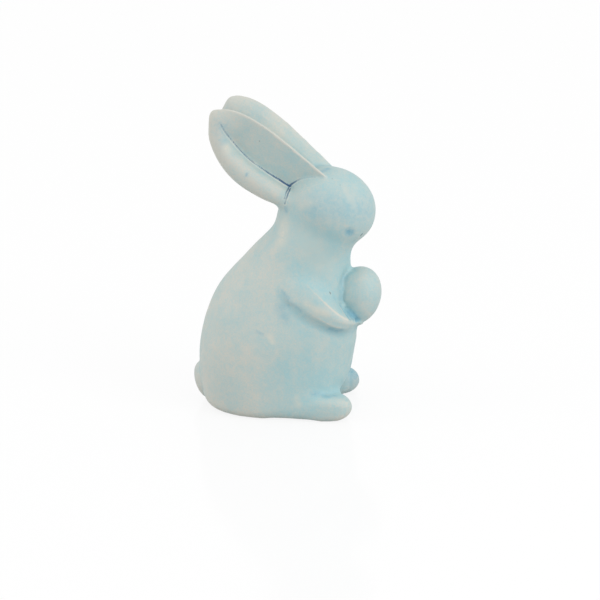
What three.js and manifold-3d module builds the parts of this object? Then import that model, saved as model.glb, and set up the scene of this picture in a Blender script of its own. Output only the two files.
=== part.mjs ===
// A seated rabbit carved in soapstone, bowing its head over an egg that it holds to its chest.
// Millimetres, +Z up. The rabbit faces +X and its left side is +Y. The origin lies on the
// table, under the middle of the body.
import * as THREE from "three";
import { mergeVertices } from "three/addons/utils/BufferGeometryUtils.js";
import Module from "manifold-3d";

const wasm = await Module();
wasm.setup();

// Driving sizes, in millimetres and degrees

const SEAM = 0.3; // gap between one carved form and the form that carries it

// Level sections of the body, from the table up. Each rises above the section below.
const BODY_RISE = { table: 0, haunch: 18, belly: 13, chest: 15, throat: 15, nape: 11, crown: 7 };
// Half the width of each section across Y
const BODY_HALF = {
  table: 22.4,
  haunch: 22.2,
  belly: 21.4,
  chest: 18,
  throat: 14.2,
  nape: 13,
  crown: 10.5,
};
// Ends of each section along X
const BODY_BACK = {
  table: -27.5,
  haunch: -29.7,
  belly: -28.2,
  chest: -22.5,
  throat: -10.2,
  nape: -1,
  crown: -0.4,
};
const BODY_FRONT = {
  table: 25.5,
  haunch: 28.2,
  belly: 30.2,
  chest: 29,
  throat: 27.8,
  nape: 33,
  crown: 33,
};
// Share by which each section narrows towards the front and swells towards the rump
const BODY_TAPER = {
  table: 0.06,
  haunch: 0.12,
  belly: 0.1,
  chest: 0.04,
  throat: 0,
  nape: 0,
  crown: 0,
};
// Exponent of each section's superellipse, in front: 2 is an ellipse, and more fills the corners
const BODY_FULLNESS = {
  table: 3,
  haunch: 2.6,
  belly: 2.3,
  chest: 2.2,
  throat: 2.1,
  nape: 2.1,
  crown: 2.1,
};
const RUMP_FULLNESS = 2.2; // the same exponent behind, at every level
const BASE_EDGE = 3.5; // rounding of the body's edge on the table

const HEAD_RISE = 18.2; // from the throat up to the middle of the head
const HEAD_SETBACK = 7.3; // from the front of the throat back to the middle of the head
const HEAD_FRONT = 17; // from the middle of the head to the muzzle
const HEAD_BACK = 17.8; // from the middle of the head to the root of the ears
const HEAD_HALF_HEIGHT = 15;
const HEAD_HALF_WIDTH = 15;
const HEAD_BOW = 20; // the muzzle's tilt towards the table

// The ears are folded lengthwise: a flat upper wall falls from the rim to the fold line, and a
// full lobe swells below it.
const EAR_LENGTH = { right: 44.6, left: 43.4 }; // from the foot on the head to the tip
const EAR_LEAN = { right: 40.5, left: 42.8 }; // above the horizontal, pointing back
const EAR_SETBACK = 10.5; // from the middle of the head back to the ear's foot
const EAR_RISE = 7.8; // from the middle of the head up to the ear's foot
const EAR_SIDE = 5; // from the middle plane out to the ear's middle level, at the foot
const EAR_SPLAY = 3; // each ear's turn away from the middle plane
const EAR_ROOT = 8; // hidden length below the foot, cut away by the head
const EAR_UPPER = { right: 11.4, left: 11.1 }; // from the ear's axis up to the rim
const EAR_LOWER = 10.4; // from the ear's axis down to the lower edge, at the foot
const EAR_LOBE_DROP = 4.8; // how far the lobe hangs below that
// How far the fold line sags below the axis, at even steps from the foot to the tip, before the
// ear narrows
const EAR_SAG = { foot: 1.7, quarter: 2.6, half: 3.8, lobe: 3.4, tip: -2.5 };
const EAR_THICKNESS = 6.4; // from the middle level to the ear's inner side
const EAR_THINNING = 1.6; // how much of that thickness is lost towards the tip
const EAR_INNER_FULLNESS = 1.5; // exponent of the inner side's fall from the rim
const EAR_RIM_FULLNESS = 4.2; // exponent of the rim's run to the tip
const EAR_LOBE_FULLNESS = 3.6; // exponent of the lobe's run to the tip
const EAR_RIM_EDGE = 1; // thickness of the rim's crest
const EAR_RIM = 2.4; // the rim's height over the middle level
const EAR_LOBE = 3.8; // the lobe's height over the middle level
const EAR_FOLD = 1.8; // the fold line's depth under the middle level
const EAR_FOLD_END = 3; // from the end of the fold line to the ear's tip
const EAR_FOLD_FADE = 13; // length over which the fold line runs out

const EGG_LENGTH = 22.4;
const EGG_WIDTH = 16.4;
const EGG_SWELL = 0.65; // how much wider each half of the egg is towards its blunt top
const EGG_HEIGHT = 44.6; // from the table to the middle of the egg
const EGG_PROUD = 2; // from the front of the chest to the middle of the egg
const EGG_TILT = 9; // forward lean of the egg's blunt top
const EGG_VALLEY = 3; // width of the valley that is cut round the egg in the chest

// The forelegs: a broad outer face between a soft lower edge and a crisp ridge, and a flat
// facet that falls from the ridge in towards the egg. Each value is given at four stations.
const ARM_BEHIND = { shoulder: 27, elbow: 15.1, wrist: 7.2, paw: 2.4 }; // back from the egg's middle
const ARM_ABOVE = { shoulder: 21.6, elbow: 11.4, wrist: 4.5, paw: 1.4 }; // over the egg's low end
const ARM_HALF = { shoulder: 6.2, elbow: 4.3, wrist: 2.7, paw: 2 }; // half the face's width
const ARM_RIDGE = { shoulder: -1, elbow: 3, wrist: 3.8, paw: 2.8 }; // height over the body
const ARM_EDGE = { shoulder: -0.3, elbow: 2.4, wrist: 3.2, paw: 2 }; // height over the body
const ARM_EDGE_ROUND = 1.8; // rounding of the lower edge
const ARM_CROWN = 0.6; // swell of the outer face
const ARM_FACET = 7; // the facet's reach from the ridge, across the foreleg
const ARM_SINK = 3.5; // depth in the body at which the facet and the lower edge end
const PAW_LENGTH = 9; // of the rounded paw, along its foreleg's end
const PAW_WIDTH = 5.6;
const PAW_TURN = 48; // each paw's turn in towards the middle plane
const PAW_SETBACK = 1.8; // from the egg's middle back to the paw's middle
const PAW_SPREAD = 4.8; // from the middle plane to the paw's middle
const PAW_LIFT = 1; // from the egg's low end up to the paw's middle

const FOOT_REACH = { right: 4.6, left: 2.4 }; // from the front of the body to the toes
const FOOT_LENGTH = 36; // with the heel hidden in the haunch
const FOOT_WIDTH = 13.4;
const FOOT_HEIGHT = 10.4;
const FOOT_WAIST = 4.7; // height of the foot's widest level
const FOOT_INSET = 1; // from the body's side in to the foot's outer side, at that level
const FOOT_FULLNESS = 3; // exponent of the foot's section
const TOE_BLUNTNESS = 8; // exponent of the foot's rounded toe end

const TAIL_HEIGHT = 8.4; // from the table to the middle of the tail
const TAIL_PROUD = 2.8; // how far the tail stands out of the rump
const TAIL_LENGTH = 13; // along X
const TAIL_WIDTH = 14.5; // across Y
const TAIL_RISE = 7.6; // half the tail's height

// Facet counts
const BODY_SIDES = 44;
const BODY_STEP = 2.6;
const EDGE_STEPS = 4;
const BALL_SIDES = 30;
const BALL_RINGS = 20;
const EAR_STEPS = 26;
const INNER_STEPS = 9;
const LOBE_STEPS = 8;
const WALL_STEPS = 5;
const ARM_STEPS = 18;
const FACE_STEPS = 4;
const FACET_STEPS = 4;
const FOOT_STEPS = 12;
const FOOT_SIDES = 22;

const TIP = 0.998; // share of a rounded end that is lofted before its flat cap
const SLOPE_STEP = 0.05; // half the length over which the slope of the body's side is taken
const rad = THREE.MathUtils.degToRad;
const { lerp, clamp, smoothstep } = THREE.MathUtils;

// Skins a row of rings, each a list of as many points, and closes both ends with a fan.
function loft(rings) {
  const sides = rings[0].length;
  const points = rings.flat();
  const faces = [];
  for (let r = 0; r + 1 < rings.length; r++) {
    for (let s = 0; s < sides; s++) {
      const next = (s + 1) % sides;
      const [a, b] = [r * sides + s, r * sides + next];
      const [c, d] = [b + sides, a + sides];
      faces.push(a, b, c, a, c, d);
    }
  }
  const last = (rings.length - 1) * sides;
  const middleOf = (ring) =>
    ring.reduce((sum, p) => sum.add(p), new THREE.Vector3()).divideScalar(sides);
  const first = points.push(middleOf(rings[0])) - 1;
  const end = points.push(middleOf(rings.at(-1))) - 1;
  for (let s = 0; s < sides; s++) {
    const next = (s + 1) % sides;
    faces.push(first, next, s, end, last + s, last + next);
  }
  return new THREE.BufferGeometry().setFromPoints(points).setIndex(faces);
}

// A closed geometry as a solid that can be cut.
function solidOf(geometry) {
  const bare = new THREE.BufferGeometry()
    .setAttribute("position", geometry.getAttribute("position"))
    .setIndex(geometry.index);
  const merged = mergeVertices(bare, 1e-4);
  return new wasm.Manifold(
    new wasm.Mesh({
      numProp: 3,
      vertProperties: new Float32Array(merged.attributes.position.array),
      triVerts: new Uint32Array(merged.index.array),
    }),
  );
}

function geometryOf(solid) {
  const mesh = solid.getMesh();
  return new THREE.BufferGeometry()
    .setAttribute("position", new THREE.BufferAttribute(mesh.vertProperties, 3))
    .setIndex(new THREE.BufferAttribute(mesh.triVerts, 1));
}

// The solid of a form modelled on the left side, or its mirror image on the right.
function sided(geometry, side) {
  if (side === "right") {
    geometry.scale(1, -1, 1);
    const order = geometry.index.array;
    for (let i = 0; i < order.length; i += 3) {
      [order[i], order[i + 1]] = [order[i + 1], order[i]];
    }
  }
  return solidOf(geometry);
}

// One coordinate of a superellipse of half size 1.
function rounded(value, fullness) {
  return Math.sign(value) * Math.abs(value) ** (2 / fullness);
}

// How much of a form's girth is left at a share of the way to its rounded end.
function blunted(share, exponent) {
  return Math.sqrt(1 - Math.abs(TIP * share) ** exponent);
}

// A curve through values at even steps, as a function of the share of the way along them.
function through(...values) {
  const shares = values[0].map((_, i) => i / (values[0].length - 1));
  const rows = shares.flatMap((_, i) => values.map((value) => value[i]));
  const spline = new THREE.CubicInterpolant(shares, rows, values.length);
  return (share) => [...spline.evaluate(share)];
}

// A ball shaped by a function that moves each point of the unit sphere.
function ballSolid(shape) {
  const ball = new THREE.SphereGeometry(1, BALL_SIDES, BALL_RINGS).rotateX(Math.PI / 2);
  const place = ball.getAttribute("position");
  const point = new THREE.Vector3();
  for (let i = 0; i < place.count; i++) {
    shape(point.fromBufferAttribute(place, i));
    place.setXYZ(i, point.x, point.y, point.z);
  }
  return solidOf(ball);
}

// Body

// The body's section at any height, swollen by grow.
function bodySkin(grow = 0) {
  const names = Object.keys(BODY_RISE);
  let height = 0;
  const heights = names.map((name) => (height += BODY_RISE[name]));
  const values = names.flatMap((name) => [
    BODY_BACK[name] - grow,
    BODY_FRONT[name] + grow,
    BODY_HALF[name] + grow,
    BODY_TAPER[name],
    BODY_FULLNESS[name],
  ]);
  const spline = new THREE.CubicInterpolant(heights, values, values.length / names.length);
  const top = heights.at(-1);
  return {
    top,
    at(z) {
      const [back, front, half, taper, fullness] = spline.evaluate(clamp(z, 0, top));
      const [middle, reach] = [(back + front) / 2, (front - back) / 2];
      return { middle, reach, half, taper, fullness, back, front };
    },
    heightOf: (name) => heights[names.indexOf(name)],
  };
}

const skin = bodySkin();

// Distance from the middle plane to the body's side at a place along X and a height.
function bodySide(x, z) {
  const { middle, reach, half, taper, fullness } = skin.at(z);
  const along = clamp((x - middle) / reach, -1, 1);
  const exponent = along > 0 ? fullness : RUMP_FULLNESS;
  const across = (1 - Math.abs(along) ** exponent) ** (1 / exponent);
  return half * across * (1 - taper * along);
}

// The direction that faces straight out of the body's left side there.
function bodyFacing(x, z) {
  const slope = (dx, dz) => (bodySide(x - dx, z - dz) - bodySide(x + dx, z + dz)) / (2 * SLOPE_STEP);
  return new THREE.Vector3(slope(SLOPE_STEP, 0), 1, slope(0, SLOPE_STEP)).normalize();
}

// The body with the whole of its neck, up to the crown inside the head.
function trunkSolid(grow = 0) {
  const { top, at } = bodySkin(grow);
  const ring = (z, level, inset) => {
    const { middle, reach, half, taper, fullness } = at(z);
    return Array.from({ length: BODY_SIDES }, (_, i) => {
      const turn = (2 * Math.PI * i) / BODY_SIDES;
      const exponent = Math.cos(turn) > 0 ? fullness : RUMP_FULLNESS;
      const along = rounded(Math.cos(turn), exponent);
      const across = rounded(Math.sin(turn), exponent);
      return new THREE.Vector3(
        middle + (reach - inset) * along,
        (half - inset) * across * (1 - taper * along),
        level,
      );
    });
  };
  const rings = [];
  for (let i = 0; i < EDGE_STEPS; i++) {
    const turn = (Math.PI / 2) * (i / EDGE_STEPS);
    const z = BASE_EDGE * (1 - Math.cos(turn));
    rings.push(ring(z, z, BASE_EDGE * (1 - Math.sin(turn))));
  }
  const steps = Math.ceil((top - BASE_EDGE) / BODY_STEP);
  for (let i = 0; i <= steps; i++) {
    const z = lerp(BASE_EDGE, top, i / steps);
    rings.push(ring(z, i < steps ? z : z + grow, 0));
  }
  return solidOf(loft(rings));
}

// Head

const throat = skin.heightOf("throat");
const headMiddle = new THREE.Vector3(skin.at(throat).front - HEAD_SETBACK, 0, throat + HEAD_RISE);

function skullSolid(grow = 0) {
  const bow = new THREE.Matrix4().makeRotationY(rad(HEAD_BOW)).setPosition(headMiddle);
  return ballSolid((p) => {
    p.x *= (p.x > 0 ? HEAD_FRONT : HEAD_BACK) + grow;
    p.y *= HEAD_HALF_WIDTH + grow;
    p.z *= HEAD_HALF_HEIGHT + grow;
    p.applyMatrix4(bow);
  });
}

// A block that fills all below the sloping seat of the head, which runs from the front of the
// throat up to the back of the crown. lift raises its top, square to the seat.
function belowNeck(lift) {
  const { front } = skin.at(throat);
  const { back } = skin.at(skin.top);
  const size = 3 * skin.top;
  const slope = Math.atan2(skin.top - throat, front - back);
  const block = new THREE.BoxGeometry(size, size, size);
  block.translate(0, 0, lift - size / 2);
  block.rotateY(slope);
  block.translate(front, 0, throat);
  block.deleteAttribute("normal");
  block.deleteAttribute("uv");
  return solidOf(block);
}

// Ears

const foldSag = through(Object.values(EAR_SAG));

// An ear's section at a distance from its foot, as points [up, out] from the axis at the ear's
// middle level: the flat wall down from the rim, then the lobe, then the rounded inner side.
function earSection(side, distance, room) {
  const length = EAR_LENGTH[side];
  const share = Math.max(0, distance / length);
  const taper = Math.sqrt(1 - share ** EAR_LOBE_FULLNESS);
  const narrowing = Math.sqrt(1 - share ** EAR_RIM_FULLNESS);
  const upper = EAR_UPPER[side] * narrowing;
  const lower = EAR_LOWER * taper + EAR_LOBE_DROP * Math.sin(Math.PI * share);
  const sag = foldSag(share)[0] * narrowing;
  const inner = Math.min((EAR_THICKNESS - EAR_THINNING * share) * taper, room);
  const lobe = EAR_LOBE * taper;
  const rim = EAR_RIM * taper;
  const edge = (EAR_RIM_EDGE / 2) * taper;
  const folded = smoothstep(length - distance, EAR_FOLD_END, EAR_FOLD_END + EAR_FOLD_FADE);
  const crease = lerp(lobe, -EAR_FOLD, folded);
  const points = [[upper - edge, rim]];
  for (let i = 1; i <= WALL_STEPS; i++) {
    const part = 1 - i / WALL_STEPS;
    points.push([lerp(-sag, upper - edge, part), lerp(crease, rim, part)]);
  }
  for (let i = 1; i < LOBE_STEPS; i++) {
    const part = 1 - (2 * i) / LOBE_STEPS;
    const fall = part < 0 ? lobe * (1 - Math.sqrt(1 - part ** 2)) : (lobe - crease) * part ** 2;
    points.push([lerp(-sag, -lower, i / LOBE_STEPS), lobe - fall]);
  }
  for (let i = 0; i <= INNER_STEPS; i++) {
    const turn = Math.PI * (i / INNER_STEPS);
    const up = -Math.cos(turn);
    if (up > 0) {
      const fall = rounded(Math.sin(turn), EAR_INNER_FULLNESS);
      points.push([upper * rounded(up, EAR_INNER_FULLNESS), lerp(rim - edge, -inner, fall)]);
    } else {
      points.push([lower * up, -inner * Math.sin(turn)]);
    }
  }
  return points;
}

function earSolid(side) {
  const lean = rad(EAR_LEAN[side]);
  const foot = new THREE.Vector3(-EAR_SETBACK, EAR_SIDE, EAR_RISE).add(headMiddle);
  const along = new THREE.Vector3(-Math.cos(lean), Math.tan(rad(EAR_SPLAY)), Math.sin(lean));
  const up = new THREE.Vector3(Math.sin(lean), 0, Math.cos(lean));
  const rings = [];
  for (let i = 0; i <= EAR_STEPS; i++) {
    const reach = Math.sin((Math.PI / 2) * (i / EAR_STEPS));
    const distance = lerp(-EAR_ROOT, TIP * EAR_LENGTH[side], reach);
    const middle = foot.clone().addScaledVector(along, distance);
    const section = earSection(side, distance, middle.y - SEAM / 2);
    rings.push(
      section.map(([rise, out]) => {
        const point = middle.clone().addScaledVector(up, rise);
        point.y += out;
        return point;
      }),
    );
  }
  return sided(loft(rings), side);
}

// Egg

const eggMiddle = new THREE.Vector3(skin.at(EGG_HEIGHT).front + EGG_PROUD, 0, EGG_HEIGHT);

// The egg, swollen by grow, and by valley in girth alone with its back kept in place.
function eggSolid(grow = 0, valley = 0) {
  const lean = new THREE.Matrix4().makeRotationY(rad(EGG_TILT)).setPosition(eggMiddle);
  return ballSolid((p) => {
    const girth = EGG_WIDTH / 2 + EGG_SWELL * p.z + grow + valley;
    const forward = valley * Math.hypot(p.x, p.y);
    p.set(p.x * girth + forward, p.y * girth, p.z * (EGG_LENGTH / 2 + grow)).applyMatrix4(lean);
  });
}

// Forelegs

// A foreleg's section as points [up, out] from the body's skin: up the sunk lower edge, round
// it, over the outer face to the ridge and down the facet.
function armSection(half, ridge, edge) {
  const points = [[-half, -ARM_SINK]];
  for (let i = 0; i < EDGE_STEPS; i++) {
    const turn = (Math.PI / 2) * (i / EDGE_STEPS);
    points.push([
      -half + ARM_EDGE_ROUND * (1 - Math.cos(turn)),
      edge - ARM_EDGE_ROUND * (1 - Math.sin(turn)),
    ]);
  }
  for (let i = 0; i <= FACE_STEPS; i++) {
    const part = i / FACE_STEPS;
    const swell = ARM_CROWN * Math.sin(Math.PI * part);
    points.push([lerp(-half + ARM_EDGE_ROUND, half, part), lerp(edge, ridge, part) + swell]);
  }
  for (let i = 1; i <= FACET_STEPS; i++) {
    const part = i / FACET_STEPS;
    points.push([half + ARM_FACET * part, lerp(ridge, -ARM_SINK, part)]);
  }
  return points;
}

// The rounded paw under the egg, on the left side.
function pawSolid() {
  const turn = new THREE.Matrix4().makeRotationZ(-rad(PAW_TURN));
  const middle = new THREE.Vector3(-PAW_SETBACK, PAW_SPREAD, PAW_LIFT - EGG_LENGTH / 2);
  turn.setPosition(middle.add(eggMiddle));
  return ballSolid((p) => {
    p.set(p.x * (PAW_LENGTH / 2), p.y * (PAW_WIDTH / 2), p.z * (PAW_WIDTH / 2)).applyMatrix4(turn);
  });
}

// A foreleg grows out of the body at the shoulder, runs forward and down over the side, and
// ends in a paw under the egg.
function foreleg(side) {
  const stations = Object.keys(ARM_BEHIND);
  const path = new THREE.CatmullRomCurve3(
    stations.map((name) => {
      const x = eggMiddle.x - ARM_BEHIND[name];
      const z = eggMiddle.z - EGG_LENGTH / 2 + ARM_ABOVE[name];
      return new THREE.Vector3(x, bodySide(x, z), z);
    }),
  );
  const sizes = through(...[ARM_HALF, ARM_RIDGE, ARM_EDGE].map((size) => Object.values(size)));
  const rings = [];
  for (let i = 0; i <= ARM_STEPS; i++) {
    const share = i / ARM_STEPS;
    const middle = path.getPoint(share);
    const along = path.getTangent(share);
    const out = bodyFacing(middle.x, middle.z).projectOnPlane(along).normalize();
    const up = new THREE.Vector3().crossVectors(along, out);
    middle.y = bodySide(middle.x, middle.z);
    rings.push(
      armSection(...sizes(share)).map(([rise, height]) => {
        return middle.clone().addScaledVector(up, rise).addScaledVector(out, height);
      }),
    );
  }
  return sided(geometryOf(solidOf(loft(rings)).add(pawSolid())), side);
}

// Hind feet

function hindFoot(side) {
  const { front, half } = skin.at(FOOT_WAIST);
  const toe = front + FOOT_REACH[side];
  const middle = half - FOOT_INSET - FOOT_WIDTH / 2;
  const rings = [];
  for (let i = 0; i <= FOOT_STEPS; i++) {
    const share = Math.sin((Math.PI / 2) * (i / FOOT_STEPS));
    const blunt = blunted(share, TOE_BLUNTNESS);
    rings.push(
      Array.from({ length: FOOT_SIDES }, (_, k) => {
        const turn = (2 * Math.PI * k) / FOOT_SIDES;
        const across = rounded(Math.cos(turn), FOOT_FULLNESS) * blunt;
        const rise = rounded(Math.sin(turn), FOOT_FULLNESS) * blunt;
        return new THREE.Vector3(
          toe - FOOT_LENGTH * (1 - share),
          middle + (FOOT_WIDTH / 2) * across,
          Math.max(0, FOOT_WAIST + (FOOT_HEIGHT - FOOT_WAIST) * rise),
        );
      }),
    );
  }
  return sided(loft(rings), side);
}

// Tail

function tailSolid() {
  const middle = skin.at(TAIL_HEIGHT).back - TAIL_PROUD + TAIL_LENGTH / 2;
  return ballSolid((p) => {
    p.set(p.x * (TAIL_LENGTH / 2), p.y * (TAIL_WIDTH / 2), p.z * TAIL_RISE);
    p.add(new THREE.Vector3(middle, 0, TAIL_HEIGHT));
  });
}

// Assembly: every form is cut back, by the seam, from the forms that carry it

const stone = { color: 0xa9cbd2, roughness: 0.72, metalness: 0 };

function form(name, solid) {
  const mesh = new THREE.Mesh(geometryOf(solid), new THREE.MeshStandardMaterial(stone));
  mesh.name = name;
  return mesh;
}

const trunk = trunkSolid();
const trunkRoom = trunkSolid(SEAM);
const headRoom = skullSolid(SEAM).add(trunkRoom);
const armRoom = eggSolid(SEAM).add(trunkRoom);

const rabbit = new THREE.Group();
rabbit.add(
  form("body", trunk.subtract(eggSolid(SEAM, EGG_VALLEY)).intersect(belowNeck(0))),
  form("head", skullSolid().add(trunk).subtract(belowNeck(SEAM))),
  form("egg", eggSolid()),
  form("tail", tailSolid().subtract(trunkRoom)),
);
for (const side of ["right", "left"]) {
  rabbit.add(
    form(`ear_${side}`, earSolid(side).subtract(headRoom)),
    form(`foreleg_${side}`, foreleg(side).subtract(armRoom)),
    form(`hind_foot_${side}`, hindFoot(side).subtract(trunkRoom)),
  );
}

export default rabbit;
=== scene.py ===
import math
from collections import namedtuple

import bmesh
import bpy
import numpy as np
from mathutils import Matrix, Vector
from mathutils.bvhtree import BVHTree
from mathutils.kdtree import KDTree


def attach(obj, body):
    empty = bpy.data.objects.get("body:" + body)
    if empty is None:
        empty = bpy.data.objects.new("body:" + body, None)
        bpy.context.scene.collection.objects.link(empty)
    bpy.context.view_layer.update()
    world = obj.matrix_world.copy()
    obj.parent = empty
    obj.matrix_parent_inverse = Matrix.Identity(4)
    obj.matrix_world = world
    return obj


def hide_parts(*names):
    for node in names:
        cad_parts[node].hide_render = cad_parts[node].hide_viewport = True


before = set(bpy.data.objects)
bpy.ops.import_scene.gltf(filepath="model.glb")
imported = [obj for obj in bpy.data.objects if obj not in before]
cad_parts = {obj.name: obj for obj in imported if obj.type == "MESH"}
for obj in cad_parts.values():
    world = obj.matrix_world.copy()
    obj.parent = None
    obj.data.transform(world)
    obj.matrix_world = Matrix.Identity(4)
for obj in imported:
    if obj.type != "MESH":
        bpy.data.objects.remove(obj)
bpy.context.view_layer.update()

MM = 0.001

SIDES = {"right": -1, "left": 1}  # each with the sign of y on its side
PAIRED_FORMS = [f"{form}_{side}" for form in ("ear", "foreleg", "hind_foot") for side in SIDES]
SMALL_FORMS = ["egg", "tail"] + PAIRED_FORMS


def mirrored(row):
    return [(x, -y, z) for x, y, z in row]


# Rough-out
CLOSING = 0.4 * MM  # swelling that closes the seams, taken off again after the first rub
VOXEL = 0.42 * MM
MERGE = 0.005 * MM  # corners this close are one
STROKE = 0.5  # how far a stroke draws a place to the middle of its neighbours
FIRST_STROKES = 6

# What is found on the solids
SEAT_GAP = 0.45 * MM  # a face this close to the carrier is a form's seat
CLEAR_OF_SEAT = 1.5 * SEAT_GAP
SEAM_STEP = 0.3 * MM
FOLD_ANGLE = 20  # degrees by which the ear's wall and lobe turn in at the fold line
FOLD_ALONG = 0.9  # least share of an edge that runs along the ear
FOLD_DEGREE = 4  # of the curve laid through the fold
FOLD_RUN_OUT = 1 * MM  # how far the valley runs on towards the ear's tip
FOLD_RUN_IN = 1 * MM  # and into the pit
RIDGE_ANGLE = (26.5, 45)  # least and most degrees by which a foreleg turns away at its ridge
RIDGE_END = 29 * MM  # where the ridge dies out above the paw
FACING_UP = 0.5  # least rise of the flat that carries the head

# Rubbing
EVEN_STROKES = 60
VANISHING_STROKES = 300
RUB_LEVELS = 20
# How much of the even rubbing each form is spared
CRISPNESS = {"egg": 0.95, "tail": 0.9, "ear": 0.93, "foreleg": 0.95, "hind_foot": 0.85}
# How far each seam is rubbed away, and the lengths that bound these seams
VANISHING = {
    "shoulder": 0.3,
    "upper_arm": 0.8,
    "lower_arm": 0.65,
    "foot": 0.3,
    "heel": 1,
    "ear_root": 1,
}
SHOULDER_LENGTH = 3 * MM
WRIST_LENGTH = 9 * MM
ARMPIT_LENGTH = 6 * MM
TOE_LENGTH = 8 * MM
FOOT_LENGTH = 12 * MM
EAR_ROOT_HEIGHT = 3 * MM
TOOL_WAVE = 9 * MM  # spacing of the hand tool's unevenness
TOOL_DEPTH = 0.22 * MM

# Distances at which an effect is full and at which it ends, in millimetres
REACH = {
    "crisp_form": (0.8, 3),
    "neck_rubbing": (4, 14),
    "egg_from_neck": (3, 7),
    "ear_from_neck": (1, 4),
    "chest_from_egg": (4, 8),
    "egg_from_chest": (0.8, 2),
    "arm_from_chest": (0.8, 2.5),
    "chest_height": (47, 52),
    "shoulder": (1, 5),
    "upper_arm": (0.6, 3),
    "lower_arm": (0.8, 3.2),
    "foot": (1, 4),
    "heel": (2, 7),
    "ear_root": (2, 7),
    "full_tail": (0.6, 1.5),
    "belly_height": (0, 15.5),
    "belly_behind_front": (-20, -6),
    "foot_from_belly": (0.8, 3),
    "lifted_paw": (1, 5),
    "egg_from_paw": (0.5, 2),
    "fold_valley": (0, 5),
    "ear_lines": (1.5, 5),
    "egg_side": (3, 6),
    "wrist_height": (38, 43),
    "foot_seam": (2, 5),
    "ear_seam": (2, 5),
    "under_arm_shade": (0.5, 2.5),
    "under_arm_ridge": (1.5, 3),
    "paw_ridge": (9, 12),
    "arm_ridge": (0.2, 0.8),
    "arm_length": (15, 28),
    "neck_dye_and_shade": (5, 14),
}

# Forms given one by one, in millimetres. Hollows on both sides: row of places on the right side,
# width and depth
HOLLOWS = {
    "eye": (((29.4, -11.7, 73.7),), 3, 0.3),
    "above_wrist": (((25.9, -9.6, 43.3), (27.1, -10.1, 41.6), (29.5, -10.6, 38.9)), 1.3, 0.5),
}
EGG_EDGE = (
    (28, -5, 53.5),
    (27.6, -7.3, 51.5),
    (27.5, -8.3, 49.5),
    (27.5, -8.6, 47),
    (27.7, -8.6, 45.5),
)
# Ear tips drawn squarer, the chest drawn back beside the egg and the tail drawn up: row of
# places, reach and shift
DRAWN = {
    "right_ear_tip": (((-24.3, -7.5, 116),), 5, (-0.2, 0, 0.9)),
    "right_ear_back": (((-24.9, -8.4, 111.5),), 6, (0.4, 0, 0)),
    "left_ear_tip": (((-22.9, 5.6, 115.4),), 6, (1.5, 0, 0)),
    "right_of_egg": (EGG_EDGE, 4, (-1.8, 0, 0)),
    "left_of_egg": (mirrored(EGG_EDGE), 4, (-1.8, 0, 0)),
    "tail": (((-32, 0, 7.5),), 8, (0.3, 0, 2)),
    "under_tail": (((-30.8, 0, 3.2),), 5, (1.4, 0, 0)),
}
FOLD_SAG = tuple(s * MM for s in (0, 0.9, 1.2, 1.1, 0.7))  # drawn down, from tip to pit
FOLD_WAY = np.array((-0.66, 0, -0.75))  # the way towards the lobe
PAW = (31.5 * MM, 5 * MM, 32.5 * MM)  # the left one
PAW_LIFT = (-1 * MM, 0, 1 * MM)
UNDERCUT = 4.5 * MM  # how far the belly falls back between the feet
BELLY_HALF_WIDTH = 14 * MM
TAIL_FULLNESS = 0.8 * MM

# Fine lines, shown by their dye alone: half widths and darkness, from one end to the other
Line = namedtuple("Line", "row widths darkness kind")
FOLD_START = (-20.2 * MM, 9 * MM, 113.2 * MM)  # on the left ear
FOLD_WIDTH = tuple(w * MM for w in (0.06, 0.08, 0.1, 0.1, 0.12, 0.14, 0.22, 0.28, 0.3))
FOLD_DARKNESS = (0.35, 0.5, 0.7, 0.8, 0.7, 0.65, 0.9, 1, 1)
BROW_LENGTH = 13 * MM
BROW_WIDTH = (0.3 * MM, 0.16 * MM, 0.08 * MM, 0.08 * MM)
BROW_DARKNESS = (1, 0.8, 0.15, 0.1, 0.1)
CHEEK_WIDTH = (0.14 * MM, 0.12 * MM, 0.08 * MM)
CHEEK_DARKNESS = (0.85, 0.8, 0.5)
# The two lines behind the cheek: how far across and up from the pit as it is looked at, in
# millimetres
CHEEKS = (
    ((-0.3, -0.5), (-1.33, -2.5), (-2, -4.8)),
    ((0.27, -0.9), (-0.13, -2), (-0.66, -3.05), (-1.06, -4.4), (-1.86, -6.8)),
)
# Nicks: ends and half width, in millimetres, and darkness
NICKS = {
    "muzzle": (((32.6, -6.6, 70.7), (33.3, -6.5, 71.6)), 0.2, 1),
    "chest": (((21.8, -12.3, 49.6), (21.9, -12.2, 48.8)), 0.16, 0.65),
    "crown": (((21.8, -6.5, 92.8), (22, -6.5, 92.6)), 0.07, 0.6),
}
NICK_END = 0.6  # half width of a nick's ends, as a share of its middle
SETTLING = {"fold": 1.2 * MM, "brow": 0.9 * MM}  # how far a line looks for its valley
SETTLING_PLACES = 5  # evened out together
LOOK_AHEAD = 5 * MM  # along a seam, to tell which way it rises
SIGHT = 60  # in millimetres, from where the lines behind the cheek are laid on the stone
# Least half width of a line, and distances past its edge in millimetres, well inside it and where
# it no longer counts
PAINTED = {"fold": 0.16 * MM, "brow": 0.16 * MM, "cheek": 0.12 * MM, "nick": 0.1 * MM}
WELL_INSIDE = -1
FAR_PAST = 3

# The way the rabbit is looked at
AZIMUTH, ELEVATION = math.radians(10), math.radians(20)
BACK = Vector(
    (
        math.sin(AZIMUTH) * math.cos(ELEVATION),
        -math.cos(AZIMUTH) * math.cos(ELEVATION),
        math.sin(ELEVATION),
    )
)
RIGHT = Vector((math.cos(AZIMUTH), math.sin(AZIMUTH), 0))
UP = BACK.cross(RIGHT)
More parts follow.
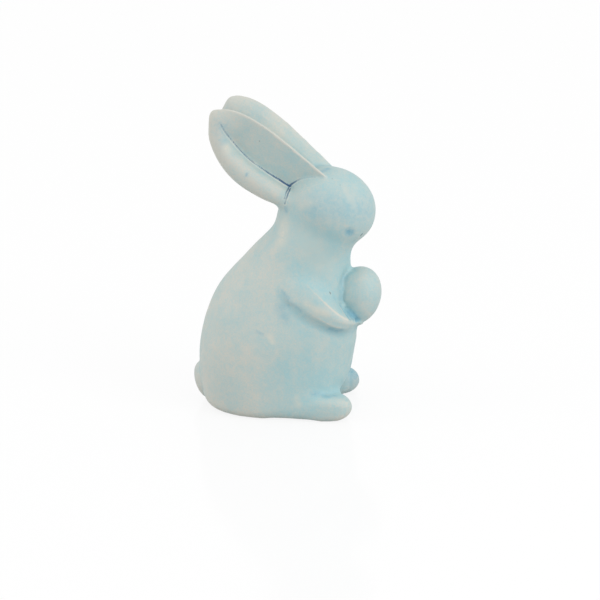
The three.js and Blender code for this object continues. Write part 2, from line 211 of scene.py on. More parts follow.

# Where dye pools and shade is painted, and where dye is rubbed off and light is painted: rows of
# places in millimetres, the reach round them and the share
RUBBED_AND_LIT = {
    "ear_lobe": (((-18, -8.7, 103.6), (-17.7, -8.8, 102.6)), 2.6, 1),
    "nape": (((3.2, -10.9, 68.7), (3.6, -9.8, 71.5), (4.2, -8.8, 74.5)), 4.5, 0.9),
    "temple": (((11.4, -12.3, 83.2), (14.6, -13.1, 84.9)), 3, 0.55),
    "forehead": (((27.3, -8.7, 89.4), (29, -10, 86.7), (30.7, -10.5, 83.8)), 2, 0.4),
    "flank": (((0.6, -21, 33.3), (1.8, -21.2, 31.8)), 1.8, 0.9),
    "forearm": (((14.5, -19, 46.8), (16.8, -19, 44.9), (21.6, -18.1, 42.9)), 2.6, 0.8),
    "heel": (((10.9, -20.7, 9.3), (11.8, -21.2, 6.7)), 2, 0.7),
    # Paler stone, and painted light where the head shades the throat and chest
    "throat": (((12.8, -14, 70.7), (17, -14, 65), (20.5, -14, 61)), 9, 0.3),
}
HEAD_SIDE = ((17, -14, 84), (24, -14, 84), (31, -11.5, 82), (35, -8, 82))
EYE = ((29.2, -11.7, 74.2), (29.8, -11.4, 73))
BEHIND_EGG = 1.5
DYE_AND_SHADE = {
    # Deeper dye and painted shade on the lower side of the head
    "right_of_head": (HEAD_SIDE, 10, 0.36),
    "left_of_head": (mirrored(HEAD_SIDE), 10, 0.36),
    "crown": (((17.8, -2.6, 94.3), (19.3, -0.7, 94.5)), 2, 0.7),
    "right_ear_tip": (((-20, -9, 112), (-18, -9, 106)), 5, 0.35),
    "left_ear_tip": (((-20, 6, 114), (-8, 4, 112)), 7, 0.18),
    # Painted shade beside and under the egg, and in the recess above the wrist
    "behind_egg": ([(x - BEHIND_EGG, y, z) for x, y, z in EGG_EDGE], 2.4, 0.45),
    "above_wrist": (HOLLOWS["above_wrist"][0], 1.1, 0.9),
    "under_egg": (((28, -9, 41.5), (30.5, -9, 38.5)), 1.6, 0.9),
    "between_egg_and_paw": (((28.6, -7, 40), (32, -6, 36.8)), 1.8, 0.9),
    "above_foot": (((17, -20, 11.2), (19, -19, 11.3), (22, -18, 11.1), (25, -16, 11)), 1.8, 0.5),
    "right_eye": (EYE, 2.9, 0.9),
    "left_eye": (mirrored(EYE), 2.9, 0.9),
    "below_cheek_lines": (((4.7, -7.7, 79.6), (4.8, -8, 80.6)), 1.6, 0.6),
    "spot_on_lobe": (((-10.2, -9.6, 93), (-10, -9.6, 93.8)), 0.9, 0.8),
    "fold_start": (((-20.2, -9, 113.2), (-19, -8.2, 110.5)), 1.6, 0.5),
    "streak_on_flank": (((-4.8, -20.6, 35.2), (-1.7, -20.9, 34.3)), 1, 0.4),
    # Painted shade under the foreleg and the wrist, with dye in the armpit
    "below_forearm": (((4.8, -18.3, 50.8), (8, -19.3, 47), (12, -19.5, 43.5)), 1.4, 0.5),
    "armpit": (((4.5, -20, 45), (6, -20.5, 41)), 4, 0.4),
    "below_wrist": (((22.5, -15.5, 36), (26, -13.5, 34.5)), 2.6, 0.7),
    "instep": (((16.8, -20, 11.2), (18.5, -19.6, 11.6)), 0.9, 0.6),
    # Dye and painted shade on the far hind foot
    "left_foot": (((22, 14, 7), (26, 14, 6)), 9, 0.9),
    "tail": (((-31, -2, 11), (-30.5, -3, 8)), 4, 0.3),
}
# Strokes that soften a copy of the skin, and the depths under it that count in full, in millimetres
SOFTENING = {"fine": 14, "middling": 120, "broad": 400}
FULL_DEPTH = {"ridge": 0.12, "raised": 1, "hollow": 0.5, "broad_hollow": 1}
# How far these places keep the dye and painted shade of a hollow out
UNDYED_UNSHADED = {"ear_lines": 0.75, "egg_side": 0.7, "seams": 0.6, "neck": 0.9}
# Painted shade under the lower edge of each foreleg
UNDER_ARM_SHADE = 0.15
RIDGE_AT_SHOULDER = 0.35
RIDGE_GAIN = 0.4  # towards the wrist

# Parting
PARTING = 0.8 * MM  # how far each form's piece reaches past its solid
PARTING_VOXEL = 0.5 * MM
HEEL = 4 * MM  # behind this a hind foot is lost in the body
BLOCK = 0.4  # size of a block that reaches past the whole rabbit
SHARP_ANGLE = math.radians(45)


def tint(red, green, blue):
    """A colour as it looks, in 0 to 255, turned into the shader's light values."""
    steps = [value / 255 for value in (red, green, blue)]
    light = [s / 12.92 if s <= 0.04045 else ((s + 0.055) / 1.055) ** 2.4 for s in steps]
    return (*light, 1)


# Soapstone
BARE = tint(208, 209, 200)
WASHED = tint(166, 203, 207)
# Deep blue of pooled dye, also laid on as painted shade
POOLED_DYE_AND_SHADE = tint(122, 174, 192)
LINE = tint(0, 72, 120)
NICK = tint(66, 80, 88)
FLECK = tint(120, 138, 140)
# Bare chalky stone where dye is rubbed off, also laid on the throat as painted light
CHALK = tint(221, 217, 203)
# Pale rims along ridges, and the painted highlight below the fine lines
RIM_AND_HIGHLIGHT = tint(219, 221, 212)
# Scale, detail, roughness and distortion
NOISES = {
    "clouds": (48, 4, 0.6, 0.6),
    "patches": (150, 4, 0.65, 0.4),
    "mottle": (480, 4, 0.7, 0.6),
    "speckle": (1500, 3, 0.7, 0),
    "flecks": (420, 1, 0.5, 0),
    "grain": (1100, 2, 0.5, 0),
}
LINE_MARKS = ("past_line", "past_nick", "line_darkness", "under_line")
# What a share is read from, where that starts and ends to count, and the share at either end
SPANS = {
    "cloud_wash": ("clouds", 0.3, 0.7, 0.28, 0.62),
    "patch_wash": ("patches", 0.25, 0.75, -0.16, 0.16),
    "mottle_wash": ("mottle", 0.25, 0.75, -0.14, 0.14),
    "speckle_wash": ("speckle", 0.3, 0.7, -0.2, 0.2),
    "forward_wash": ("along", -0.02, 0.03, -0.08, 0.18),
    "flank_wash": ("along", 0.001, 0.009, -0.04, 0.14),
    # Broad hollows bluer: dye and painted shade
    "hollow_dye_and_shade_wash": ("broad_hollow", 0, 1, 0, 0.7),
    "raised_wash": ("raised", 0, 1, 0, -0.35),
    "ridge_wash": ("ridge", 0.1, 0.8, 0, -0.9),
    # Hollows deep blue: pooled dye and painted shade
    "pooled_and_shaded": ("hollow", 0.15, 1, 0, 0.85),
    "dye_and_shade_mottle": ("mottle", 0.3, 0.7, 0.4, 1),
    "worn_mottle": ("mottle", 0.35, 0.6, 0.4, 1),
    "worn_speckle": ("speckle", 0.35, 0.6, 0.35, 1),
    # A painted highlight along the lower side of each fine line
    "lit_from": ("past_line", 0.1, 0.35, 0, 1),
    "lit_to": ("past_line", 0.5, 0.8, 0.8, 0),
    "rim": ("ridge", 0.3, 1, 0, 0.8),
    "flecked": ("flecks", 0.81, 0.86, 0, 0.6),
    "lined": ("past_line", 0, 0.25, 0.95, 0),
    "nicked": ("past_nick", 0, 0.25, 0.95, 0),
    "roughness": ("patches", 0.3, 0.7, 0.52, 0.68),
}
GRAIN_STRENGTH = 0.15
GRAIN_HEIGHT = 0.0001

# Stage
WHITE = (1, 1, 1, 1)
FLOOR_SIZE = 6
PAPER = (0.6, 0.6, 0.6, 1)
PAPER_ROUGHNESS = 0.12
PAPER_GLOW = 1.08
GLOW_SHARE = 0.8  # of the paper as it is seen
ROOM_LIGHT = 0.81
SEEN_ROOM = 1
# Place and power
LAMPS = {"lamp_ahead": ((0.9, -0.4, 0.55), 3.7), "lamp_behind": ((-0.95, -0.3, 0.45), 2)}
LAMP_SIZE = 0.6
LAMP_AIM = Vector((0, 0, 0.06))
LENS = 600
SENSOR = 36
FRAME_WIDTH = 227.1 * MM  # seen across the picture, at the rabbit
CAMERA_ASIDE = 8.33  # in millimetres, as is the rise
CAMERA_RISE = 38.2
CLIP_END = 20


# Handling


def pick(*pieces):
    bpy.ops.object.select_all(action="DESELECT")
    for piece in pieces:
        piece.select_set(True)
    bpy.context.view_layer.objects.active = pieces[0]


def apply_modifier(piece, kind, **settings):
    pick(piece)
    modifier = piece.modifiers.new(kind.title(), kind)
    for key, value in settings.items():
        setattr(modifier, key, value)
    bpy.ops.object.modifier_apply(modifier=modifier.name)


def another(piece, name):
    copy = bpy.data.objects.new(name, piece.data.copy())
    bpy.context.scene.collection.objects.link(copy)
    return copy


def discard(*pieces):
    for piece in pieces:
        bpy.data.meshes.remove(piece.data)


def solid_copy(node, name):
    """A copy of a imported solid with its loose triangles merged."""
    copy = another(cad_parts[node], name)
    copy.data.materials.clear()
    pick(copy)
    bpy.ops.object.mode_set(mode="EDIT")
    bpy.ops.mesh.select_all(action="SELECT")
    bpy.ops.mesh.remove_doubles(threshold=MERGE)
    bpy.ops.object.mode_set(mode="OBJECT")
    return copy


def swell(piece, amount):
    apply_modifier(piece, "DISPLACE", strength=amount, mid_level=0)


def remesh(piece, voxel):
    apply_modifier(piece, "REMESH", mode="VOXEL", voxel_size=voxel, adaptivity=0)


def cut(piece, operation, tool):
    apply_modifier(piece, "BOOLEAN", operation=operation, object=tool, solver="MANIFOLD")


def points_of(piece):
    flat = np.empty(len(piece.data.vertices) * 3, np.float32)
    piece.data.vertices.foreach_get("co", flat)
    return flat.reshape(-1, 3).astype(float)


def normals_of(piece):
    flat = np.empty(len(piece.data.vertices) * 3, np.float32)
    piece.data.vertex_normals.foreach_get("vector", flat)
    return flat.reshape(-1, 3).astype(float)


def move(piece, points):
    piece.data.vertices.foreach_set("co", points.astype(np.float32).ravel())
    piece.data.update()


# Measuring


def tree_of(points):
    tree = KDTree(len(points))
    for i, point in enumerate(points):
        tree.insert(point, i)
    tree.balance()
    return tree


def surface_of(piece):
    return BVHTree.FromPolygons(
        [v.co for v in piece.data.vertices], [p.vertices for p in piece.data.polygons]
    )


def laid_on(surface, row):
    return np.array([surface.find_nearest(Vector(place))[0] for place in row])


def evenly(row, step=SEAM_STEP):
    """A row of points taken again at even steps along it."""
    lengths = np.linalg.norm(np.diff(row, axis=0), axis=1)
    along = np.concatenate([[0], np.cumsum(lengths)])
    places = np.linspace(0, along[-1], max(2, math.ceil(along[-1] / step)))
    return np.stack([np.interp(places, along, row[:, axis]) for axis in range(3)], 1)


def spread(values, count):
    """Values at even steps along a line, taken again for that many points."""
    return np.interp(np.linspace(0, 1, count), np.linspace(0, 1, len(values)), values)


def in_box(points, corners, reach):
    """The numbers of the points that lie in the corners' box, widened by the reach."""
    low, high = corners.min(0) - reach, corners.max(0) + reach
    return np.flatnonzero(((points > low) & (points < high)).all(1))


def distance_to_row(row, points, reach):
    """Each point's distance to a row of points, or the reach where none is closer."""
    found = np.full(len(points), reach)
    tree = tree_of(row)
    for i in in_box(points, row, reach):
        found[i] = min(reach, tree.find(points[i])[2])
    return found


def distance_to_form(solid, points, reach):
    """Each point's distance to a solid's surface, or the reach where it is further off."""
    found = np.full(len(points), reach)
    surface = surface_of(solid)
    for i in in_box(points, points_of(solid), reach):
        hit = surface.find_nearest(Vector(points[i]), reach)
        if hit[0] is not None:
            found[i] = hit[3]
    return found


def fade(distance, near, far):
    """1 at the near distance and closer, 0 at the far distance and beyond."""
    part = np.clip((far - distance) / (far - near), 0, 1)
    return part * part * (3 - 2 * part)


def within(name, distance):
    """1 where the named reach is full, 0 where it has ended."""
    near, far = REACH[name]
    return fade(distance, near * MM, far * MM)


def beside_row(name, row, points):
    return within(name, distance_to_row(row, points, REACH[name][1] * MM))


def beside_form(name, form, points):
    return within(name, distance_to_form(solids[form], points, REACH[name][1] * MM))


def round_row(row, points, reach):
    """1 on a row of places, 0 at the reach."""
    return fade(distance_to_row(evenly(row), points, reach), 0, reach)


def paw_of(way):
    return np.array([PAW]) * (1, way, 1)


# What is found on the solids


def seam_of(solid, carrier):
    """The loop round the faces with which a form sits on the form that carries it."""
    shape = bmesh.new()
    shape.from_mesh(solid.data)
    shape.verts.ensure_lookup_table()
    close = distance_to_form(carrier, points_of(solid), 2 * SEAT_GAP) < SEAT_GAP
    seat = {face for face in shape.faces if all(close[v.index] for v in face.verts)}
    beside = {}
    for edge in shape.edges:
        if len({face in seat for face in edge.link_faces}) == 2:
            a, b = (v.index for v in edge.verts)
            beside.setdefault(a, []).append(b)
            beside.setdefault(b, []).append(a)
    loops = []
    while beside:
        loop = [next(iter(beside))]
        while True:
            onward = [v for v in beside.pop(loop[-1]) if v in beside]
            if not onward:
                break
            loop.append(onward[0])
        loops.append(loop)
    longest = max(loops, key=len)
    row = np.array([shape.verts[i].co for i in longest + longest[:1]])
    shape.free()
    return evenly(row)


def fold_of(ear):
    """The fold line of an ear, a smooth curve from its tip to the pit at the head."""
    shape = bmesh.new()
    shape.from_mesh(ear.data)
    corners = points_of(ear)
    middle = corners.mean(0)
    axis = np.linalg.svd(corners - middle, full_matrices=False)[2][0]
    axis *= np.sign(axis[0])
    found = []
    for edge in shape.edges:
        run = np.array(edge.verts[1].co - edge.verts[0].co)
        if edge.calc_face_angle_signed(0) < -math.radians(FOLD_ANGLE):
            if abs(run @ axis) > FOLD_ALONG * np.linalg.norm(run):
                found += [np.array(v.co) for v in edge.verts]
    shape.free()
    along = np.array([(co - middle) @ axis for co in found])
    bends = [
        np.polynomial.Polynomial.fit(along, np.array(found)[:, i], FOLD_DEGREE) for i in range(3)
    ]
    places = np.arange(along.min() - FOLD_RUN_OUT, along.max() + FOLD_RUN_IN, 2 * SEAM_STEP)
    return np.stack([bend(places) for bend in bends], 1)


def ridge_of(arm):
    """The crisp ridge of a foreleg, clear of its seat, from the shoulder to the wrist."""
    shape = bmesh.new()
    shape.from_mesh(arm.data)
    clear = distance_to_form(solids["body"], points_of(arm), 2 * SEAT_GAP) > CLEAR_OF_SEAT
    least, most = (math.radians(angle) for angle in RIDGE_ANGLE)
    found = {
        v.index: tuple(v.co)
        for edge in shape.edges
        if least < edge.calc_face_angle_signed(0) < most
        for v in edge.verts
        if all(clear[end.index] for end in edge.verts)
    }
    shape.free()
    row = np.array(sorted(found.values()))
    return evenly(row[row[:, 0] < RIDGE_END])


def arm_edges(side):
    """The upper and the lower side of the seam round a foreleg."""
    arm = seams[f"foreleg_{side}"]
    x, z = arm[:, 0], arm[:, 2]
    ends = arm[[x.argmin(), x.argmax()]]
    above = z > np.interp(x, ends[:, 0], ends[:, 2])
    return arm[above], arm[~above]


def neck_seat():
    """A point on the flat that carries the head, and the way it faces."""
    areas = {}
    places = {}
    for face in solids["body"].data.polygons:
        if face.normal.z > FACING_UP:
            facing = tuple(round(c, 2) for c in face.normal)  # alike for all faces of a flat
            areas[facing] = areas.get(facing, 0) + face.area
            places[facing] = face.center.copy()
    widest = max(areas, key=areas.get)
    return places[widest], Vector(widest).normalized()


# Shaping


def roughed_out():
    copies = [another(solid, "block") for solid in solids.values()]
    for copy in copies:
        swell(copy, CLOSING)
    pick(*copies)
    bpy.ops.object.join()
    rough = bpy.context.object
    remesh(rough, VOXEL)
    apply_modifier(rough, "SMOOTH", factor=STROKE, iterations=FIRST_STROKES)
    swell(rough, -CLOSING)
    return rough


def draw_folds_down(piece):
    """Draws the valley of each ear's fold down towards the lobe."""
    points = points_of(piece)
    for row in fold_rows.values():
        tree = tree_of(row)
        sag = spread(FOLD_SAG, len(row))
        for i in in_box(points, row, REACH["fold_valley"][1] * MM):
            _, index, away = tree.find(points[i])
            points[i] += sag[index] * within("fold_valley", away) * FOLD_WAY
    move(piece, points)


def draw_forms(piece):
    """Fills out the tail, draws the forms to their places, undercuts the belly, lifts the paws."""
    points = points_of(piece)
    tail = beside_form("full_tail", "tail", points)
    points += normals_of(piece) * (TAIL_FULLNESS * tail)[:, None]
    for row, reach, shift in DRAWN.values():
        near = round_row(np.array(row) * MM, points, reach * MM)
        points += near[:, None] * np.array(shift) * MM
    belly = within("belly_height", points[:, 2]) * within("belly_behind_front", -points[:, 0])
    lifted = np.zeros(len(points))
    for side, way in SIDES.items():
        belly *= 1 - beside_form("foot_from_belly", f"hind_foot_{side}", points)
        belly *= way * points[:, 1] < BELLY_HALF_WIDTH
        lifted = np.maximum(lifted, beside_row("lifted_paw", paw_of(way), points))
    lifted *= 1 - beside_form("egg_from_paw", "egg", points)
    points[:, 0] -= UNDERCUT * belly
    move(piece, points + lifted[:, None] * PAW_LIFT)


def rub(piece, share, strokes):
    """Rubs the stone smooth, each place by its own share."""
    group = piece.vertex_groups.new(name="rubbed")
    levels = np.rint(np.clip(share, 0, 1) * RUB_LEVELS).astype(int)
    for level in range(1, RUB_LEVELS + 1):
        chosen = np.flatnonzero(levels == level)
        if chosen.size:
            group.add(chosen.tolist(), level / RUB_LEVELS, "REPLACE")
    apply_modifier(piece, "SMOOTH", factor=STROKE, iterations=strokes, vertex_group="rubbed")
    piece.vertex_groups.clear()


def even_share(points):
    share = np.ones(len(points))
    for form in SMALL_FORMS:
        crisp = CRISPNESS[form.removesuffix("_right").removesuffix("_left")]
        share *= 1 - crisp * beside_form("crisp_form", form, points)
    return share


def vanishing_share(points):
    """Where a form grows out of its carrier with no line: the neck, the shoulders, the heels."""
    share = beside_row("neck_rubbing", seams["neck"], points)
    egg = distance_to_form(solids["egg"], points, REACH["chest_from_egg"][1] * MM)
    share *= 1 - within("egg_from_neck", egg)
    chest = within("chest_from_egg", egg) * (1 - within("egg_from_chest", egg))
    chest *= within("chest_height", points[:, 2])
    for side in SIDES:
        share *= 1 - beside_form("ear_from_neck", f"ear_{side}", points)
        chest *= 1 - beside_form("arm_from_chest", f"foreleg_{side}", points)
    share = np.maximum(share, chest)
    for side in SIDES:
        upper, lower = arm_edges(side)
        shoulder, wrist = upper[:, 0].min(), upper[:, 0].max()
        foot = seams[f"hind_foot_{side}"]
        behind_toe = foot[:, 0].max() - foot[:, 0]
        ear = seams[f"ear_{side}"]
        rows = {
            "shoulder": upper[upper[:, 0] < shoulder + SHOULDER_LENGTH],
            "upper_arm": upper[upper[:, 0] < wrist - WRIST_LENGTH],
            "lower_arm": lower[lower[:, 0] > shoulder + ARMPIT_LENGTH],
            "foot": foot[behind_toe > TOE_LENGTH],
            "heel": foot[behind_toe > FOOT_LENGTH],
            "ear_root": ear[ear[:, 2] < ear[:, 2].min() + EAR_ROOT_HEIGHT],
        }
        for name, row in rows.items():
            share = np.maximum(share, VANISHING[name] * beside_row(name, row, points))
    return share


def press(piece, row, width, depth):
    """Presses a shallow hollow into the stone along a row of places."""
    points = points_of(piece)
    near = round_row(laid_on(surface_of(piece), row), points, width)
    move(piece, points - normals_of(piece) * (depth * near)[:, None])


def softened(piece, strokes):
    """How far each place lies under the stone's own softened skin: hollows are positive."""
    soft = another(piece, "soft")
    apply_modifier(soft, "SMOOTH", factor=STROKE, iterations=strokes)
    depth = ((points_of(soft) - points_of(piece)) * normals_of(piece)).sum(1)
    discard(soft)
    return depth


# Fine lines


def settled(row, reach):
    """A row of points moved to the bottom of the valley that it follows, and evened out."""
    moved = []
    for place in row:
        near = skin_tree.find_range(place, reach)
        depth = np.array([max(under["fine"][i], 0) for _, i, _ in near])
        if depth.sum() > 0:
            place = np.average([co for co, _, _ in near], axis=0, weights=depth**2)
        moved.append(place)
    beyond = SETTLING_PLACES // 2
    padded = np.pad(np.array(moved), ((beyond, beyond), (0, 0)), "edge")
    shares = np.full(SETTLING_PLACES, 1 / SETTLING_PLACES)
    return np.stack([np.convolve(padded[:, i], shares, "valid") for i in range(3)], 1)


def laid_below(pit, row, way):
    """A row given as steps across and up from the pit, laid on the stone's near side."""
    mirror = Vector((1, -way, 1))
    back, right, up = BACK * mirror, RIGHT * mirror, UP * mirror
    laid = []
    for across, rise in row:
        start = Vector(pit) + right * across * MM + up * rise * MM + back * SIGHT * MM
        laid.append(skin_surface.ray_cast(start, -back)[0])
    return evenly(np.array(laid))


def fold_line(side, way):
    """An ear's fold line, laid in its valley."""
    row = fold_rows[side]
    start = np.array(FOLD_START) * (1, way, 1)
    drawn = row + spread(FOLD_SAG, len(row))[:, None] * FOLD_WAY
    even = evenly(np.vstack([start, drawn]), 2 * SEAM_STEP)
    return laid_on(skin_surface, settled(even, SETTLING["fold"]))


def brow_line(side, pit):
    """The line that rises from the pit along the ear's seam with the head."""
    seam = seams[f"ear_{side}"]
    onward = np.roll(seam, -np.linalg.norm(seam - pit, axis=1).argmin(), axis=0)
    backward = onward[::-1]
    ahead = round(LOOK_AHEAD / SEAM_STEP)
    rising = onward if onward[ahead, 2] > backward[ahead, 2] else backward
    row = rising[: round(BROW_LENGTH / SEAM_STEP)]
    return laid_on(skin_surface, settled(row, SETTLING["brow"]))


def fine_lines():
    found = []
    for side, way in SIDES.items():
        fold = fold_line(side, way)
        pit = fold[-1]
        found.append(Line(fold, FOLD_WIDTH, FOLD_DARKNESS, "fold"))
        found.append(Line(brow_line(side, pit), BROW_WIDTH, BROW_DARKNESS, "brow"))
        for row in CHEEKS:
            cheek = laid_below(pit, row, way)
            found.append(Line(cheek, CHEEK_WIDTH, CHEEK_DARKNESS, "cheek"))
    for ends, width, darkness in NICKS.values():
        row = laid_on(skin_surface, evenly(np.array(ends) * MM))
        end = NICK_END * width * MM
        found.append(Line(row, (end, width * MM, end), [darkness], "nick"))
    return found


# Where the dye pools and where it is rubbed off, with painted shade and painted light


def patched(patches):
    share = np.zeros(len(skin))
    for row, reach, most in patches.values():
        laid = np.array([skin_tree.find(place)[0] for place in np.array(row) * MM])
        share = np.maximum(share, most * round_row(laid, skin, reach * MM))
    return share


def share_of(depth, name):
    return np.clip(depth / (FULL_DEPTH[name] * MM), 0, 1)


def marks_of_skin():
    ear_lines = np.concatenate([line.row for line in lines if line.kind in ("fold", "brow")])
    undyed_unshaded = UNDYED_UNSHADED["ear_lines"] * beside_row("ear_lines", ear_lines, skin)
    above_wrist = 1 - within("wrist_height", skin[:, 2])
    egg_side = beside_form("egg_side", "egg", skin) * above_wrist
    undyed_unshaded = np.maximum(undyed_unshaded, UNDYED_UNSHADED["egg_side"] * egg_side)
    ridge = share_of(-under["fine"], "ridge")
    # Patches of dye and of painted shade
    dye_and_shade = patched(DYE_AND_SHADE)
    down_arm = 1 - within("arm_length", skin[:, 0])
    for side, way in SIDES.items():
        foot = beside_row("foot_seam", seams[f"hind_foot_{side}"], skin)
        ear = beside_row("ear_seam", seams[f"ear_{side}"], skin)
        undyed_unshaded = np.maximum(undyed_unshaded, UNDYED_UNSHADED["seams"] * np.maximum(foot, ear))
        lower_edge = arm_edges(side)[1]
        under_arm = distance_to_row(lower_edge, skin, REACH["under_arm_ridge"][1] * MM)
        # Painted shade under the foreleg's lower edge
        dye_and_shade = np.maximum(dye_and_shade, UNDER_ARM_SHADE * within("under_arm_shade", under_arm))
        ridge *= 1 - within("under_arm_ridge", under_arm)
        ridge *= (1 - foot) * (1 - beside_row("paw_ridge", paw_of(way), skin))
        arm_ridge = beside_row("arm_ridge", ridge_of(solids[f"foreleg_{side}"]), skin)
        ridge = np.maximum(ridge, (RIDGE_AT_SHOULDER + RIDGE_GAIN * down_arm) * arm_ridge)
    at_neck = UNDYED_UNSHADED["neck"] * beside_row("neck_dye_and_shade", seams["neck"], skin)
    # Broad hollows, where dye and painted shade deepen the blue
    broad_hollow = share_of(under["broad"], "broad_hollow")
    return {
        "ridge": ridge,
        "raised": share_of(-under["broad"], "raised"),
        "hollow": share_of(under["middling"], "hollow") * (1 - undyed_unshaded),
        "broad_hollow": broad_hollow * (1 - undyed_unshaded) * (1 - at_neck),
        # Dye rubbed off, and painted light on the throat
        "rubbed": patched(RUBBED_AND_LIT),
        "dye_and_shade": dye_and_shade,
    }


def mark(piece, name, values):
    layer = piece.data.attributes.new(name, "FLOAT", "POINT")
    layer.data.foreach_set("value", values.astype(np.float32))


def carry_marks(piece):
    points = points_of(piece)
    source = np.array([skin_tree.find(point)[1] for point in points])
    for name, values in marks.items():
        mark(piece, name, values[source])
    nearest = [line_tree.find(point) for point in points]
    index = np.array([found[1] for found in nearest])
    away = np.array([found[2] for found in nearest])
    nick = line_is_nick[index]
    past = np.clip((away - line_width[index]) / MM, WELL_INSIDE, FAR_PAST)
    mark(piece, "past_line", np.where(nick, FAR_PAST, past))
    mark(piece, "past_nick", np.where(nick, past, FAR_PAST))
    mark(piece, "line_darkness", line_darkness[index])
    # Below a line is where its painted highlight goes
    mark(piece, "under_line", points[:, 2] < line_points[index, 2])


# Parting


def parting_solid(form):
    reach = another(solids[form], f"reach_{form}")
    swell(reach, PARTING)
    remesh(reach, PARTING_VOXEL)
    draw_folds_down(reach)
    draw_forms(reach)
    return reach


def half_space(point, facing, name):
    """A block that fills the side of a plane that the plane faces."""
    bpy.ops.mesh.primitive_cube_add(
        size=BLOCK,
        location=point + facing * (BLOCK / 2),
        rotation=facing.to_track_quat("Z", "Y").to_euler(),
    )
    block = bpy.context.object
    block.name = name
    bpy.ops.object.transform_apply(location=True, rotation=True, scale=True)
    return block


def parted(node, kept, lost):
    """The stone inside the kept solids and outside the lost ones."""
    piece = another(stone, f"soapstone_{node}")
    for tool in kept:
        cut(piece, "INTERSECT", tool)
    for tool in lost:
        cut(piece, "DIFFERENCE", tool)
    return piece


# Shaders


def put(tree, kind, inputs=None, **settings):
    node = tree.nodes.new(kind)
    for key, value in settings.items():
        setattr(node, key, value)
    for key, value in (inputs or {}).items():
        if isinstance(value, bpy.types.NodeSocket):
            tree.links.new(value, node.inputs[key])
        else:
            node.inputs[key].default_value = value
    return node


def attribute(tree, name):
    return put(tree, "ShaderNodeAttribute", attribute_name=name).outputs["Fac"]


def noise(tree, place, scale, detail, roughness, distortion):
    inputs = {
        "Vector": place,
        "Scale": scale,
        "Detail": detail,
        "Roughness": roughness,
        "Distortion": distortion,
    }
    return put(tree, "ShaderNodeTexNoise", inputs).outputs["Fac"]


def span(tree, value, low, high, to_low, to_high):
    return put(
        tree,
        "ShaderNodeMapRange",
        {0: value, 1: low, 2: high, 3: to_low, 4: to_high},
        interpolation_type="SMOOTHSTEP",
    ).outputs[0]


def combined(tree, operation, first, *others):
    for value in others:
        first = put(tree, "ShaderNodeMath", {0: first, 1: value}, operation=operation).outputs[0]
    return first


def blend(tree, share, a, b):
    # The colour sockets share their names with those of the other data types
    return put(tree, "ShaderNodeMix", {0: share, 6: a, 7: b}, data_type="RGBA").outputs[2]


def seen_ray(tree):
    """1 for a ray that shows the surface itself: from the camera, a gloss or a glass."""
    path = put(tree, "ShaderNodeLightPath").outputs
    rays = [path[f"Is {kind} Ray"] for kind in ("Camera", "Glossy", "Transmission")]
    return combined(tree, "MAXIMUM", *rays)


def soapstone_material():
    material = bpy.data.materials.new("soapstone")
    material.use_nodes = True
    tree = material.node_tree
    shader = tree.nodes["Principled BSDF"]
    place = put(tree, "ShaderNodeTexCoord").outputs["Object"]
    value = {name: noise(tree, place, *settings) for name, settings in NOISES.items()}
    value["along"] = put(tree, "ShaderNodeSeparateXYZ", {0: place}).outputs[0]
    for name in (*marks, *LINE_MARKS):
        value[name] = attribute(tree, name)
    share = {name: span(tree, value[source], *ends) for name, (source, *ends) in SPANS.items()}

    wash = [share[name] for name in SPANS if name.endswith("_wash")]
    colour = blend(tree, combined(tree, "ADD", *wash), BARE, WASHED)
    # Pooled dye and painted shade in the hollows
    colour = blend(tree, share["pooled_and_shaded"], colour, POOLED_DYE_AND_SHADE)
    # Patches of dye and of painted shade, in the deep blue
    dye_and_shade = combined(tree, "MULTIPLY", value["dye_and_shade"], share["dye_and_shade_mottle"])
    colour = blend(tree, dye_and_shade, colour, POOLED_DYE_AND_SHADE)
    # Bare stone where dye is rubbed off, and painted light on the throat
    worn_and_lit = combined(
        tree, "MULTIPLY", share["worn_mottle"], share["worn_speckle"], value["rubbed"]
    )
    colour = blend(tree, worn_and_lit, colour, CHALK)
    darkness = value["line_darkness"]
    # Pale rims, and a painted highlight below the fine lines
    lit = combined(
        tree, "MULTIPLY", share["lit_from"], share["lit_to"], value["under_line"], darkness
    )
    colour = blend(tree, combined(tree, "MAXIMUM", share["rim"], lit), colour, RIM_AND_HIGHLIGHT)
    colour = blend(tree, share["flecked"], colour, FLECK)
    colour = blend(tree, combined(tree, "MULTIPLY", share["lined"], darkness), colour, LINE)
    colour = blend(tree, combined(tree, "MULTIPLY", share["nicked"], darkness), colour, NICK)
    tree.links.new(colour, shader.inputs["Base Color"])
    tree.links.new(share["roughness"], shader.inputs["Roughness"])
    grain = {"Height": value["grain"], "Strength": GRAIN_STRENGTH, "Distance": GRAIN_HEIGHT}
    tree.links.new(put(tree, "ShaderNodeBump", grain).outputs[0], shader.inputs["Normal"])
    return material


def paper_material():
    """White paper that looks brighter than it lights."""
    material = bpy.data.materials.new("paper")
    material.use_nodes = True
    tree = material.node_tree
    sheet = tree.nodes["Principled BSDF"]
    sheet.inputs["Base Color"].default_value = PAPER
    sheet.inputs["Roughness"].default_value = PAPER_ROUGHNESS
    glow = put(tree, "ShaderNodeEmission", {"Color": WHITE, "Strength": PAPER_GLOW})
    share = combined(tree, "MULTIPLY", seen_ray(tree), GLOW_SHARE)
    mixed = put(tree, "ShaderNodeMixShader", {0: share, 1: sheet.outputs[0], 2: glow.outputs[0]})
    tree.links.new(mixed.outputs[0], tree.nodes["Material Output"].inputs["Surface"])
    return material


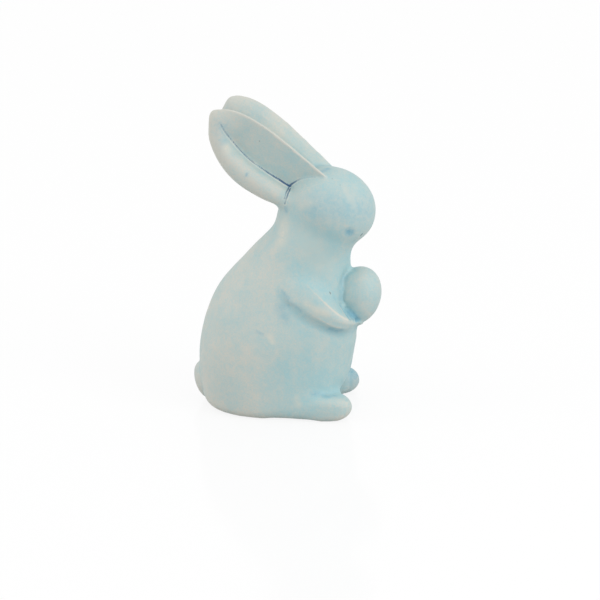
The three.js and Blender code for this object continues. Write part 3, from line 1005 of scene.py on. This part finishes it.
# The stone
solids = {node: solid_copy(node, f"solid_{node}") for node in sorted(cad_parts)}
stone = roughed_out()
seams = {"neck": seam_of(solids["head"], solids["body"])}
for form in PAIRED_FORMS:
    carrier = "head" if form.startswith("ear") else "body"
    seams[form] = seam_of(solids[form], solids[carrier])
fold_rows = {side: fold_of(solids[f"ear_{side}"]) for side in SIDES}
draw_folds_down(stone)
draw_forms(stone)
rub(stone, even_share(points_of(stone)), EVEN_STROKES)
rub(stone, vanishing_share(points_of(stone)), VANISHING_STROKES)
hand = bpy.data.textures.new("hand", "CLOUDS")
hand.noise_scale = TOOL_WAVE
apply_modifier(
    stone, "DISPLACE", texture=hand, texture_coords="LOCAL", strength=TOOL_DEPTH, mid_level=0.5
)
for row, width, depth in HOLLOWS.values():
    for way in SIDES.values():
        press(stone, np.array(row) * (1, -way, 1) * MM, width * MM, depth * MM)

# Its lines and marks
under = {name: softened(stone, strokes) for name, strokes in SOFTENING.items()}
skin = points_of(stone)
skin_tree = tree_of(skin)
skin_surface = surface_of(stone)
lines = fine_lines()
marks = marks_of_skin()
line_points = np.concatenate([line.row for line in lines])
line_darkness = np.concatenate([spread(line.darkness, len(line.row)) for line in lines])
line_width = np.concatenate(
    [np.maximum(spread(line.widths, len(line.row)), PAINTED[line.kind]) for line in lines]
)
line_is_nick = np.concatenate([np.full(len(line.row), line.kind == "nick") for line in lines])
line_tree = tree_of(line_points)

# Its pieces
reaches = {form: parting_solid(form) for form in SMALL_FORMS}
above_neck = half_space(*neck_seat(), "above_neck")
behind_heels = half_space(Vector((HEEL, 0, 0)), Vector((-1, 0, 0)), "behind_heels")
for side, way in SIDES.items():
    half = half_space(Vector(), Vector((0, way, 0)), f"half_{side}")
    cut(reaches[f"ear_{side}"], "INTERSECT", half)
    cut(reaches[f"hind_foot_{side}"], "DIFFERENCE", behind_heels)
    discard(half)
below = half_space(Vector(), Vector((0, 0, -1)), "below")
cut(stone, "DIFFERENCE", below)
pieces = {}
for form, reach in reaches.items():
    beside = [reaches["egg"]] if form.startswith("foreleg") else []
    pieces[form] = parted(form, [reach], beside)
pieces["head"] = parted("head", [above_neck], [reaches[f"ear_{side}"] for side in SIDES])
pieces["body"] = parted("body", [], [above_neck, *reaches.values()])

soapstone = soapstone_material()
for form, piece in pieces.items():
    piece.data.materials.clear()
    piece.data.materials.append(soapstone)
    carry_marks(piece)
    pick(piece)
    bpy.ops.object.shade_smooth_by_angle(angle=SHARP_ANGLE)
    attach(piece, "root")
    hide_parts(form)
discard(stone, below, above_neck, behind_heels, *reaches.values(), *solids.values())

# Stage
bpy.ops.mesh.primitive_plane_add(size=FLOOR_SIZE)
floor = bpy.context.object
floor.name = "floor"
floor.data.materials.append(paper_material())

world = bpy.context.scene.world or bpy.data.worlds.new("room")
bpy.context.scene.world = world
world.use_nodes = True
room = world.node_tree.nodes["Background"]
room.inputs["Color"].default_value = WHITE
light = span(world.node_tree, seen_ray(world.node_tree), 0, 1, ROOM_LIGHT, SEEN_ROOM)
world.node_tree.links.new(light, room.inputs["Strength"])

for name, (place, power) in LAMPS.items():
    lamp = bpy.data.objects.new(name, bpy.data.lights.new(name, "AREA"))
    lamp.data.energy = power
    lamp.data.size = LAMP_SIZE
    bpy.context.scene.collection.objects.link(lamp)
    lamp.location = place
    lamp.rotation_euler = (LAMP_AIM - lamp.location).to_track_quat("-Z", "Y").to_euler()

lens = bpy.data.cameras.new("camera")
lens.lens = LENS
lens.sensor_width = SENSOR
lens.clip_end = CLIP_END
camera = bpy.data.objects.new("camera", lens)
bpy.context.scene.collection.objects.link(camera)
away = BACK * (FRAME_WIDTH * LENS / SENSOR)
camera.location = RIGHT * CAMERA_ASIDE * MM + UP * CAMERA_RISE * MM + away
camera.rotation_euler = BACK.to_track_quat("Z", "Y").to_euler()
bpy.context.scene.camera = camera
bpy.context.scene.view_settings.view_transform = "Standard"
